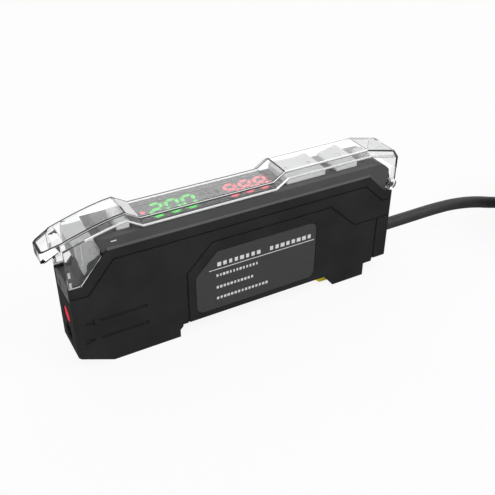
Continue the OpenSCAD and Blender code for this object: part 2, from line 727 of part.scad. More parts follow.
// Upper face of the cover along the unit
hump_x = mode_x + 1.8;
dip_x = window_x - 0.2;
rise_x = rocker_x - 3.2;
crest_x = rocker_x - 0.4;
slope_x = case_l - 7.2;
cover_end = case_l + 0.2;
crown_steps = 6;
crown_power = 1.37;
function crown_z(x) = cover_z - (cover_z - cover_nose_z) * pow(1 - x / hump_x, crown_power);
cover_line = concat(
    [for (i = [0:crown_steps]) let (x = set_gap + (hump_x - set_gap) * i / crown_steps) [x, crown_z(x)]],
    [[dip_x, cover_low_z], [rise_x, cover_low_z], [crest_x, cover_z], [slope_x, cover_z],
        [cover_end, cover_end_z]]);

// A roof over the cover's line: flat on top, sloping at both sides, down to a rim or to a floor
module roof(points, top_y, side_y, bevel, depth) loft([for (p = points) [
    [p[0], -side_y, p[1] - depth], [p[0], side_y, p[1] - depth], [p[0], side_y, p[1] - bevel],
    [p[0], top_y, p[1]], [p[0], -top_y, p[1]], [p[0], -side_y, p[1] - bevel]]]);

eye_y = 3.95;
eye_out_y = half_w - 0.1;
wall_y = half_w - 0.55;
rim_h = 0.15;
front_wall_end = cheek_x - 0.25;
module cover_front_wall() polygon([[set_gap, front_z + cover_gap], [front_flat - 0.1, front_z + cover_gap],
    [cheek_x + 0.8, band_z - 0.95], [front_wall_end, deck_z - 0.4],
    [front_wall_end, crown_z(front_wall_end) - cover_bevel_h], [set_gap, crown_z(0) - cover_bevel_h]]);

// Pull tab, tapered towards its rounded end
module cover_tab() {
    tab_drop = 1.5;
    top_y = cover_top_w / 2;
    tab_end = -tab_l;
    tip = [0.6 - tab_l, 2.7];
    intersection() {
        slab(-half_w, half_w) polygon([[1, cover_nose_z + 0.3], [set_gap, cover_nose_z],
            [tab_end, cover_nose_z - tab_drop], [tab_end, cover_nose_z - tab_drop - tab_t],
            [set_gap, cover_nose_z - tab_t], [1, cover_nose_z - cover_t]]);
        linear_extrude(60) polygon([[1, -top_y], [set_gap, -top_y], [tip[0], -tip[1]],
            [tab_end, 0.5 - tip[1]], [tab_end, tip[1] - 0.5], tip, [set_gap, top_y], [1, top_y]]);
    }
}

module dust_cover() color(clear_color) from_front() {
    top_y = cover_top_w / 2;
    inner_bevel = cover_bevel_h * (wall_y - top_y) / (half_w - top_y);
    inner = [for (p = cover_line)
        [p[0] + (p[0] < 1 ? -1 : p[0] > case_l ? -cover_t : 0), p[1] - cover_t]];
    rear_x0 = cover_end - cover_t;
    rear_wall_z = cover_end_z - 3.7;
    difference() {
        union() {
            difference() {
                roof(cover_line, top_y, half_w, cover_bevel_h, cover_bevel_h + rim_h);
                roof(inner, top_y, wall_y, inner_bevel, 3);
            }
            both_sides() slab(wall_y, half_w) cover_front_wall();
            // Snap ribs inside the front walls
            both_sides() block(2.7, 3.5, wall_y - 0.45, wall_y + eps, band_z - 2, deck_z - 0.4);
            // Rear wall and the arms down to the hinge eyes
            block(rear_x0, cover_end, -half_w, half_w, rear_wall_z, cover_end_z - cover_bevel_h);
            both_sides() {
                block(rear_x0, cover_end, eye_y, eye_out_y, hinge_z, rear_wall_z + 0.1);
                rod_y(hinge_x, hinge_z, eye_r, eye_y, eye_out_y);
            }
            cover_tab();
        }
        rod_y(hinge_x, hinge_z, hinge_pin_r + run_gap, -case_w, case_w);
    }
}

// Rail latch and its spring

latch_low_z = 0.15;
module din_latch() color([0.77, 0.7, 0.12]) from_front() difference() {
    intersection() {
        slab(-latch_w / 2, latch_w / 2) polygon([[latch_tip_x, grip_z - 0.2],
            [latch_tip_x + 1.8, latch_low_z], [latch_end_x, latch_low_z], [latch_end_x, grip_z],
            [latch_tip_x, grip_z]]);
        union() {
            block(0, case_l, guide_t - latch_w / 2, latch_w / 2 - guide_t, 0, foot_h);
            block(0, case_l, -latch_w / 2, latch_w / 2, guide_t + set_gap, foot_h);
        }
    }
    block(latch_end_x - 2.6, latch_end_x - 1.4, -1.2, 1.2, -1, 0.9);
}

spring_z = (guide_t + grip_z) / 2;
module latch_spring() color(steel_color) from_front() {
    steps = spring_turns * 10;
    lead = spring_wire * 0.6;
    r = spring_r - spring_wire / 2;
    tube([for (i = [0:steps]) let (a = 360 * spring_turns * i / steps)
        [latch_end_x + lead + (spring_l - 2 * lead) * i / steps, r * cos(a), spring_z + r * sin(a)]],
        spring_wire / 2, 6);
}

// Cable

bushing_r = cable_d / 2 + 0.6;
module cable_bushing() color([0.12, 0.12, 0.12]) from_front() difference() {
    wall_x = case_l - end_t;
    union() {
        rod_x(wall_x - 1.2, case_l, cable_z, bushing_r);
        rod_x(wall_x - 1.2, wall_x, cable_z, bushing_r + 0.6);
    }
    rod_x(wall_x - 2, case_l + 1, cable_z, cable_d / 2 + seat_gap);
}

module cable() color([0.2, 0.2, 0.2]) tube(cable_route, cable_d / 2, 8);

module cable_coil() color([0.2, 0.2, 0.2]) translate([coil_x, coil_y, coil_z]) rotate_extrude()
    polygon([[coil_in, 1], [coil_in + 1, 0], [coil_out - 1, 0], [coil_out, 1], [coil_out, coil_h - 1],
        [coil_out - 1, coil_h], [coil_in + 1, coil_h], [coil_in, coil_h - 1]]);

module cable_tie() color([0.1, 0.1, 0.1]) translate([coil_x, coil_y, 0]) difference() {
    block(coil_in - 0.6, coil_out + 0.5, -1.25, 1.25, 0, coil_z + coil_h + 0.5);
    block(coil_in - 0.1, coil_out, -2, 2, coil_z, coil_z + coil_h);
}

module lead_wires() for (i = [0:2]) color(lead_colors[i]) tube(lead_routes[i], lead_d / 2, 6);

case_shell();
upper_housing();
label_plate();
display_window();
display_board();
display_module();
green_digits();
red_digits();
output_led();
tact_switches();
slide_switch_body();
main_board();
board_chips();
board_header();
fibre_block();
send_ring();
receive_ring();
emitter_led();
receiver_diode();
lever_pin();
latch_spring();
cable_bushing();
cable();
cable_coil();
cable_tie();
lead_wires();
dust_cover();
lock_lever();
mode_button();
rocker_button();
set_button();
slide_knob();
din_latch();
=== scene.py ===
"""Looks of a slim fibre optic sensor amplifier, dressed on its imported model."""

import math

import bmesh
import bpy
from bpy.props import FloatProperty, FloatVectorProperty, IntProperty, PointerProperty
from mathutils import Matrix, Vector
from mathutils.bvhtree import BVHTree


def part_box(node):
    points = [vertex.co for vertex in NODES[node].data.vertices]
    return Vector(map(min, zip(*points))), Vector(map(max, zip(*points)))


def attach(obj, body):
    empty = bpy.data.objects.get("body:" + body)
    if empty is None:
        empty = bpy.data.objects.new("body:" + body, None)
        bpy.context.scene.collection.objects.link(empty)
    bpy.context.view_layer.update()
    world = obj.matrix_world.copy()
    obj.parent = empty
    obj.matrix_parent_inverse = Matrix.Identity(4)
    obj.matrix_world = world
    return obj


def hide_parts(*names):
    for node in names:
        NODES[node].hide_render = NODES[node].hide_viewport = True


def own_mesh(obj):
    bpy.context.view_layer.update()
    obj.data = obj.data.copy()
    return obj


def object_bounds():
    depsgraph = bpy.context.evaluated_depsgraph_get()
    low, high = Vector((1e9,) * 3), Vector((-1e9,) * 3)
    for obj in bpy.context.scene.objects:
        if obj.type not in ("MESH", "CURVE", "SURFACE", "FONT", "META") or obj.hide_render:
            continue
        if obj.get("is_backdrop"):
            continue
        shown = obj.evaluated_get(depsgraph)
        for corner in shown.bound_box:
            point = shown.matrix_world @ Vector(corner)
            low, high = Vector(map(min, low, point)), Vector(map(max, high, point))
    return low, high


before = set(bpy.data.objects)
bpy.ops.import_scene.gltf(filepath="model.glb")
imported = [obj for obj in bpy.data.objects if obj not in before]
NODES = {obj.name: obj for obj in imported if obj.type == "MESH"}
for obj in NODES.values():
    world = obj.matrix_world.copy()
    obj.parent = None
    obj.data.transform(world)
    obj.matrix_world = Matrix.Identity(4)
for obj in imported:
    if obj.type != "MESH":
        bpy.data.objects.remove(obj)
CAD_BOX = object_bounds()

bl_info = {
    "name": "Fibre Sensor Amplifier",
    "version": (1, 0, 0),
    "blender": (4, 5, 0),
    "location": "View3D > Sidebar > Amplifier",
    "description": "Dresses a slim fibre optic sensor amplifier with its finishes, prints and cable",
    "category": "Object",
}

MM = 0.001
FRONT_X, REAR_X = (corner[0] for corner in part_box("case_shell"))
# Span of a noise's values, and the places on it of the two tones of a surface
NOISE_SPAN = (0.3, 0.7)
TONE_PLACES = (0.35, 0.65)


def at(behind, across, height):
    """A point in metres, from millimetres behind the front face."""
    return Vector((FRONT_X + behind * MM, across * MM, height * MM))


# Settings


def colour(name, description, default):
    """A colour that the user can change."""
    return FloatVectorProperty(
        name=name, description=description, default=default, subtype="COLOR", size=3, min=0.0, max=1.0
    )


def amount(name, description, default, **more):
    """A number from zero up that the user can change."""
    return FloatProperty(name=name, description=description, default=default, min=0.0, **more)


def length(name, description, default):
    """A length that the user can change."""
    return amount(name, description, default, unit="LENGTH")


class AmplifierFinish(bpy.types.PropertyGroup):
    """Colours and surface sizes of the amplifier."""

    case: colour("Case", "Moulded case", (0.0260, 0.0260, 0.0265))
    housing: colour("Housing", "Upper housing and deck", (0.084, 0.084, 0.085))
    label: colour("Label", "Film of the label", (0.060, 0.060, 0.061))
    ink: colour("Ink", "Printing on the label and the deck", (0.78, 0.78, 0.78))
    control: colour("Controls", "Buttons, knob and lever", (0.88, 0.88, 0.88))
    latch: colour("Latch", "Rail latch", (0.80, 0.68, 0.02))
    cable: colour("Cable", "Sheath of the cable", (0.041, 0.041, 0.042))
    window: colour("Window", "Smoked display window", (0.38, 0.38, 0.39))
    cover: colour("Cover", "Clear dust cover", (0.985, 0.99, 0.99))
    green: colour("Green digits", "Light of the green row", (0.05, 0.78, 0.06))
    red: colour("Red digits", "Light of the red row", (0.90, 0.10, 0.13))
    port: colour("Port light", "Light of the sending port", (0.84, 0.055, 0.085))
    glow: amount("Glow", "Strength of the lit digits", 3.0)
    grain: length("Grain", "Depth of the moulded grain", 6e-6)
    edge: length("Edge", "Radius of the moulded edges", 1.2e-4)


class AmplifierStage(bpy.types.PropertyGroup):
    """Camera, floor and light."""

    lens: amount("Lens", "Focal length of the camera", 52.96, unit="CAMERA")
    floor: colour("Floor", "Pale studio floor", (0.93, 0.93, 0.93))
    sky: amount("Sky", "Light from all round", 0.62)
    horizon: amount("Horizon", "Brightness near the horizon", 0.08)
    key: amount("Key", "Power of the main lamp", 1.6, unit="POWER")
    fill: amount("Fill", "Power of the side lamp", 0.4, unit="POWER")
    back: amount("Back", "Power of the lamp behind", 1.1, unit="POWER")
    paper: amount("Paper", "Share of the floor that shows as plain white", 0.9, max=1.0)
    mirrored: amount("Mirrored", "Brightness of the floor in reflections", 0.15, max=1.0)


class AmplifierCable(bpy.types.PropertyGroup):
    """Cable and its coil."""

    diameter: length("Diameter", "Sheath of the cable", 0.003)
    coil: length("Coil", "Radius of the middle turns", 0.0155)
    lead: length("Lead", "Diameter of one lead", 0.001)
    layers: IntProperty(name="Layers", description="Turns on top of each other", default=7, min=2)


class AmplifierPrint(bpy.types.PropertyGroup):
    """Printing on the label and the deck."""

    thickness: length("Thickness", "Thickness of the ink", 2e-5)
    line: length("Line", "Width of a printed line", 1.6e-4)
    seed: IntProperty(name="Seed", description="Seed of the printed bars' lengths", default=7)


GROUPS = {
    "amplifier_finish": AmplifierFinish,
    "amplifier_stage": AmplifierStage,
    "amplifier_cable": AmplifierCable,
    "amplifier_print": AmplifierPrint,
}


# Finishes


def give(made, inputs):
    """Inputs of a node: each set to a value, or joined to a socket or to the first output of a node."""
    for key, value in inputs.items():
        if isinstance(value, bpy.types.Node):
            value = value.outputs[0]
        if isinstance(value, bpy.types.NodeSocket):
            made.id_data.links.new(value, made.inputs[key])
        else:
            made.inputs[key].default_value = value


def node(tree, kind, inputs=None, **values):
    """A new node with its values and inputs."""
    made = tree.nodes.new(kind)
    for key, value in values.items():
        setattr(made, key, value)
    give(made, inputs or {})
    return made


def combine(tree, operation, first, second):
    """Result of two values."""
    return node(tree, "ShaderNodeMath", {0: first, 1: second}, operation=operation)


def moved(tree, value, span, limits):
    """A value moved from a span to other limits."""
    keys = ("Value", "From Min", "From Max", "To Min", "To Max")
    return node(tree, "ShaderNodeMapRange", dict(zip(keys, (value, *span, *limits))))


class Finish:
    """A material while it is made."""

    def __init__(self, name, **sockets):
        self.material = bpy.data.materials.new(name)
        self.material.use_nodes = True
        self.tree = self.material.node_tree
        self.tree.nodes.clear()
        inputs = {key.replace("_", " "): value for key, value in sockets.items()}
        self.surface = self.node("ShaderNodeBsdfPrincipled", inputs)
        self.output = self.node("ShaderNodeOutputMaterial", {"Surface": self.surface})
        self.coords = self.node("ShaderNodeTexCoord").outputs["Object"]

    def node(self, kind, inputs=None, **values):
        return node(self.tree, kind, inputs, **values)

    def join(self, source, key):
        """Joins a value to an input of the surface."""
        give(self.surface, {key: source})
        return self

    def parts(self):
        """X, Y and Z of a point of the object."""
        return self.node("ShaderNodeSeparateXYZ", {0: self.coords}).outputs

    def noise(self, scale, detail=2.0, stretch=(1.0, 1.0, 1.0)):
        """Noise with that many cells in a metre, stretched along an axis where needed."""
        spread = self.node("ShaderNodeMapping", {"Vector": self.coords, "Scale": stretch})
        return self.node("ShaderNodeTexNoise", {"Vector": spread, "Scale": scale, "Detail": detail})

    def between(self, value, low, high, span=NOISE_SPAN):
        """A value moved from a span, such as a noise's, to low and high."""
        return moved(self.tree, value, span, (low, high))

    def ramp(self, value, *stops):
        """Colours at places of a value."""
        made = self.node("ShaderNodeValToRGB", {"Fac": value})
        points = made.color_ramp.elements
        while len(points) < len(stops):
            points.new(0.5)
        for point, (place, shade) in zip(points, stops):
            point.position = place
            point.color = (*shade, 1.0)
        return made

    def tones(self, scale, detail, low, high):
        """A colour that goes from low to high with a noise."""
        return self.ramp(self.noise(scale, detail), *zip(TONE_PLACES, (low, high)))

    def mottle(self, shade, spread, scale):
        """A colour that varies a little over the surface."""
        low = [c * (1 - spread) for c in shade]
        high = [min(1.0, c * (1 + spread)) for c in shade]
        return self.join(self.tones(scale, 3.0, low, high), "Base Color")

    def roughen(self, low, high, scale):
        """A roughness that varies a little over the surface."""
        return self.join(self.between(self.noise(scale), low, high), "Roughness")

    def texture(self, height, depth, edge=0.0):
        """Relief of that depth in metres, on edges rounded by that radius."""
        inputs = {"Height": height, "Strength": 1.0, "Distance": depth}
        if edge:
            inputs["Normal"] = self.node("ShaderNodeBevel", {"Radius": edge}, samples=4)
        return self.join(self.node("ShaderNodeBump", inputs), "Normal")

    def grain(self, scale, depth, edge=0.0, detail=2.0):
        """Relief of a noise with that many cells in a metre."""
        return self.texture(self.noise(scale, detail), depth, edge)


def moulded(name, shade, low, high, specular, grain=3200.0, spread=0.08):
    """Moulded plastic: fine spark grain, soft edges, slight flow marks."""
    settings = bpy.context.scene.amplifier_finish
    made = Finish(name, Specular_IOR_Level=specular).mottle(shade, spread, 140.0).roughen(low, high, 420.0)
    return made.grain(grain, settings.grain, settings.edge, 3.0).material


def metal(name, shade, low, high, stretch):
    """Bright metal with fine drawn lines."""
    made = Finish(name, Metallic=1.0).mottle(shade, 0.06, 900.0)
    lines = made.noise(2600.0, 2.0, stretch)
    return made.join(made.between(lines, low, high), "Roughness").texture(lines, 3e-6, 8e-5).material


def lit(name, shade, glow):
    """A lit face: brighter and darker patches of a light guide."""
    scale = 700.0
    made = Finish(name, Roughness=0.4, Emission_Strength=glow).mottle([0.25 * c for c in shade], 0.1, scale)
    patches = made.tones(scale, 2.0, [0.86 * c for c in shade], shade)
    return made.join(patches, "Emission Color").material


def printed(name, shade, scale=2600.0):
    """Printed ink, a little uneven."""
    made = Finish(name, Specular_IOR_Level=0.3, Roughness=0.5).mottle(shade, 0.06, scale)
    return made.grain(4000.0, 4e-6).material


def clear(name, shade, ior, low, high, edge):
    """Clear moulded plastic with a faint flow wave and soft edges."""
    made = Finish(name, IOR=ior, Transmission_Weight=1.0).mottle([0.995 * c for c in shade], 0.004, 90.0)
    return made.roughen(low, high, 260.0).grain(120.0, 5e-7, edge).material


# Shapes


def dress(material, *names):
    """Gives CAD nodes their finish."""
    for name in names:
        slots = NODES[name].data.materials
        for place in range(len(slots)):
            slots[place] = material
        if not slots:
            slots.append(material)


def mesh_of(shape, name):
    """A plain mesh from a bmesh, with its faces outwards."""
    bmesh.ops.recalc_face_normals(shape, faces=shape.faces)
    mesh = bpy.data.meshes.new(name)
    shape.to_mesh(mesh)
    shape.free()
    return mesh


def piece(name, shape, body, slot, *materials):
    """A finished piece that rides on a body."""
    made = bpy.data.objects.new(name, mesh_of(shape, name))
    bpy.context.scene.collection.objects.link(made)
    for material in materials:
        made.data.materials.append(material)
    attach(made, body)
    return made


def smooth_line(points, share=8):
    """More points on a smooth line through the points."""
    made = []
    last = len(points) - 1
    for i in range(last):
        a, b = points[max(i - 1, 0)], points[i]
        c, d = points[i + 1], points[min(i + 2, last)]
        for k in range(share):
            t = k / share
            made.append(0.5 * (2 * b + (c - a) * t + (2 * a - 5 * b + 4 * c - d) * t ** 2
                               + (3 * b - 3 * c + d - a) * t ** 3))
    return made + [points[-1]]


def skin(shape, rings, closed=False):
    """Faces between rings of points, and over the two ends unless the rings close on the first."""
    rings = [[shape.verts.new(point) for point in ring] for ring in rings]
    faces = []
    if closed:
        rings.append(rings[0])
    else:
        faces += [shape.faces.new(ring) for ring in (rings[0], rings[-1])]
    for low, high in zip(rings, rings[1:]):
        for k in range(len(low)):
            faces.append(shape.faces.new((low[k], low[k - 1], high[k - 1], high[k])))
    return faces


def add_tube(shape, line, radius, sides, slot=0):
    """Adds a closed round tube along a line."""
    rings = []
    turn = None
    for i, place in enumerate(line):
        ahead = (line[min(i + 1, len(line) - 1)] - line[max(i - 1, 0)]).normalized()
        if turn is None:
            turn = ahead.orthogonal().normalized()
        turn = (turn - ahead * turn.dot(ahead)).normalized()
        side = ahead.cross(turn)
        rings.append([
            place + radius * (math.cos(a) * turn + math.sin(a) * side)
            for a in (math.tau * k / sides for k in range(sides))
        ])
    for face in skin(shape, rings):
        face.smooth = len(face.verts) == 4
        face.material_index = slot


def corners(low, high):
    """Points of a rectangle between two corners."""
    return [(low[0], low[1]), (high[0], low[1]), (high[0], high[1]), (low[0], high[1])]


def oval(centre, wide, high, count=28):
    """Points round an oval."""
    turns = [math.tau * k / count for k in range(count)]
    return [(centre[0] + wide / 2 * math.cos(a), centre[1] + high / 2 * math.sin(a)) for a in turns]


class Printer:
    """Lays thin printed marks on a CAD node, seen from above or from a side."""

    # Distance from the unit's middle at which the search for its surface starts, in metres
    away = 0.05

    def __init__(self, name, towards, ink):
        graph = bpy.context.evaluated_depsgraph_get()
        self.tree = BVHTree.FromObject(NODES[name], graph)
        self.towards = Vector(towards)
        self.shape = bmesh.new()
        self.ink = ink

    def ground(self, mark):
        """The point of the node under a point of a mark, and its normal."""
        if self.towards.z:
            start = Vector((mark[0], mark[1], -self.away * self.towards.z))
        else:
            start = Vector((mark[0], -self.away * self.towards.y, mark[1]))
        place, normal, _, _ = self.tree.ray_cast(start, self.towards)
        if place is None:
            raise RuntimeError("A printed mark misses its surface")
        return place, normal

    def mark(self, outer, inner=None):
        """Adds one mark, with an open middle where inner is given."""
        rings = []
        for points, ink in ((outer, -self.ink), (outer, self.ink), (inner, self.ink), (inner, -self.ink)):
            if points:
                rings.append([place + normal * ink for place, normal in map(self.ground, points)])
        skin(self.shape, rings, closed=bool(inner))


# Geometry Nodes


ROW_INPUTS = {"Start": "Vector", "Step": "Vector", "Count": "Int", "Size": "Vector", "Spread": "Float",
              "Seed": "Int", "Ink": "Material"}


def row_tree(name):
    """Nodes for a row of bars of uneven length."""
    tree = bpy.data.node_groups.new(name, "GeometryNodeTree")
    for label, kind in ROW_INPUTS.items():
        tree.interface.new_socket(label, in_out="INPUT", socket_type=f"NodeSocket{kind}")
    tree.interface.new_socket("Row", in_out="OUTPUT", socket_type="NodeSocketGeometry")
    given = node(tree, "NodeGroupInput").outputs
    line = node(tree, "GeometryNodeMeshLine", {
        "Count": given["Count"], "Start Location": given["Start"], "Offset": given["Step"],
    })
    mark = node(tree, "GeometryNodeMeshCube")
    least = combine(tree, "SUBTRACT", 1.0, given["Spread"])
    uneven = node(tree, "FunctionNodeRandomValue", {"Min": least, "Max": 1.0, "Seed": given["Seed"]})
    stretch = node(tree, "ShaderNodeCombineXYZ", {"X": uneven.outputs["Value"], "Y": 1.0, "Z": 1.0})
    size = node(tree, "ShaderNodeVectorMath", {0: given["Size"], 1: stretch}, operation="MULTIPLY")
    spread = node(tree, "GeometryNodeInstanceOnPoints", {"Points": line, "Instance": mark, "Scale": size})
    real = node(tree, "GeometryNodeRealizeInstances", {"Geometry": spread})
    inked = node(tree, "GeometryNodeSetMaterial", {"Geometry": real, "Material": given["Ink"]})
    node(tree, "NodeGroupOutput", {"Row": inked})
    return tree


def grow(tree, values):
    """The plain mesh that a tree makes from those inputs."""
    holder = bpy.data.objects.new(tree.name, bpy.data.meshes.new(tree.name))
    bpy.context.scene.collection.objects.link(holder)
    modifier = holder.modifiers.new(tree.name, "NODES")
    modifier.node_group = tree
    for item in tree.interface.items_tree:
        if item.in_out == "INPUT":
            modifier[item.identifier] = values[item.name]
    graph = bpy.context.evaluated_depsgraph_get()
    mesh = bpy.data.meshes.new_from_object(holder.evaluated_get(graph), depsgraph=graph)
    holder.modifiers.clear()
    bpy.data.objects.remove(holder)
    return mesh


def rows_piece(name, rows, body, slot, ink):
    """One piece from several rows of bars."""
    tree, shape = row_tree(name), bmesh.new()
    for row in rows:
        mesh = grow(tree, dict(zip(ROW_INPUTS, (*row, ink))))
        if not mesh.polygons:
            raise RuntimeError(f"A row of {name} came out empty")
        shape.from_mesh(mesh)
        bpy.data.meshes.remove(mesh)
    piece(name, shape, body, slot, ink)


# Operators


class AMPLIFIER_OT_stage(bpy.types.Operator):
    """Camera at the photograph's angle, pale floor and soft studio light"""

    bl_idname = "amplifier.stage"
    bl_label = "Stage"

    # Camera: its place in metres, and its directions right, up and back
    eye = (-0.05950, -0.11472, 0.10006)
    axes = ((0.8747, -0.4846, 0.0026), (0.2645, 0.4820, 0.8352), (-0.4060, -0.7299, 0.5498))
    # Lamps: place and width in metres, and the point that they face
    lamps = {"key": ((0.32, -0.43, 0.62), 0.5), "fill": ((-0.30, -0.35, 0.72), 0.5),
             "back": ((0.18, 0.66, 0.57), 0.9)}
    lit_point = Vector((0.0, 0.0, 0.015))
    # Rise over the horizon at which the sky is dim, and at which it is full
    dawn = (0.02, 0.16)
    # Floor: half its width and its height, just under the feet, in metres
    floor_half, floor_z = 4.0, -2e-5

    def execute(self, context):
        scene, settings = context.scene, context.scene.amplifier_stage
        scene.view_settings.view_transform = "Standard"
        self.camera(scene, settings.lens)
        self.world(scene, settings.sky, settings.horizon)
        self.floor(scene, settings)
        for name, (place, width) in self.lamps.items():
            self.lamp(scene, f"{name}_lamp", place, width, getattr(settings, name))
        return {"FINISHED"}

    def camera(self, scene, lens):
        data = bpy.data.cameras.new("camera")
        data.lens = lens
        data.sensor_width = 36.0
        data.clip_start, data.clip_end = 0.002, 20.0
        seen = bpy.data.objects.new("camera", data)
        seen.matrix_world = Matrix.Translation(self.eye) @ Matrix(self.axes).transposed().to_4x4()
        scene.collection.objects.link(seen)
        scene.camera = seen

    def backdrop_rays(self, tree):
        """1 for rays that see the background straight, in gloss or through the cover."""
        path = node(tree, "ShaderNodeLightPath").outputs
        found = combine(tree, "MAXIMUM", path["Is Camera Ray"], path["Is Glossy Ray"])
        return combine(tree, "MAXIMUM", found, path["Is Transmission Ray"])

    def world(self, scene, sky, horizon):
        scene.world = bpy.data.worlds.new("studio")
        scene.world.use_nodes = True
        tree = scene.world.node_tree
        tree.nodes.clear()
        sight = node(tree, "ShaderNodeTexCoord").outputs["Generated"]
        height = node(tree, "ShaderNodeSeparateXYZ", {0: sight}).outputs["Z"]
        seen = node(tree, "ShaderNodeLightPath").outputs["Is Camera Ray"]
        shown = combine(tree, "MAXIMUM", moved(tree, height, self.dawn, (horizon, 1.0)), seen)
        white = (1.0, 1.0, 1.0, 1.0)
        light, backdrop = (
            node(tree, "ShaderNodeBackground", {"Color": white, "Strength": value}) for value in (sky, shown)
        )
        mixed = node(tree, "ShaderNodeMixShader", {"Fac": self.backdrop_rays(tree), 1: light, 2: backdrop})
        node(tree, "ShaderNodeOutputWorld", {"Surface": mixed})

    def floor(self, scene, settings):
        shape = bmesh.new()
        bmesh.ops.create_grid(shape, x_segments=1, y_segments=1, size=self.floor_half)
        made = bpy.data.objects.new("floor", mesh_of(shape, "floor"))
        made.location.z = self.floor_z
        scene.collection.objects.link(made)
        paper = Finish("studio_paper", Specular_IOR_Level=0.0, Roughness=0.9)
        paper.mottle(settings.floor, 0.01, 40.0)
        tree, path = paper.tree, paper.node("ShaderNodeLightPath").outputs
        mirrored = combine(tree, "MULTIPLY", path["Is Glossy Ray"], path["Is Reflection Ray"])
        strength = paper.between(mirrored, 1.0, settings.mirrored, (0.0, 1.0))
        glow = paper.node("ShaderNodeEmission", {"Strength": strength})
        share = combine(tree, "MULTIPLY", self.backdrop_rays(tree), settings.paper)
        mixed = paper.node("ShaderNodeMixShader", {"Fac": share, 1: paper.surface, 2: glow})
        give(paper.output, {"Surface": mixed})
        made.data.materials.append(paper.material)
        made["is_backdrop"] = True

    def lamp(self, scene, name, place, size, power):
        data = bpy.data.lights.new(name, "AREA")
        data.shape = "DISK"
        data.size = size
        data.energy = power
        made = bpy.data.objects.new(name, data)
        made.location = place
        made.rotation_euler = (self.lit_point - made.location).to_track_quat("-Z", "Y").to_euler()
        scene.collection.objects.link(made)


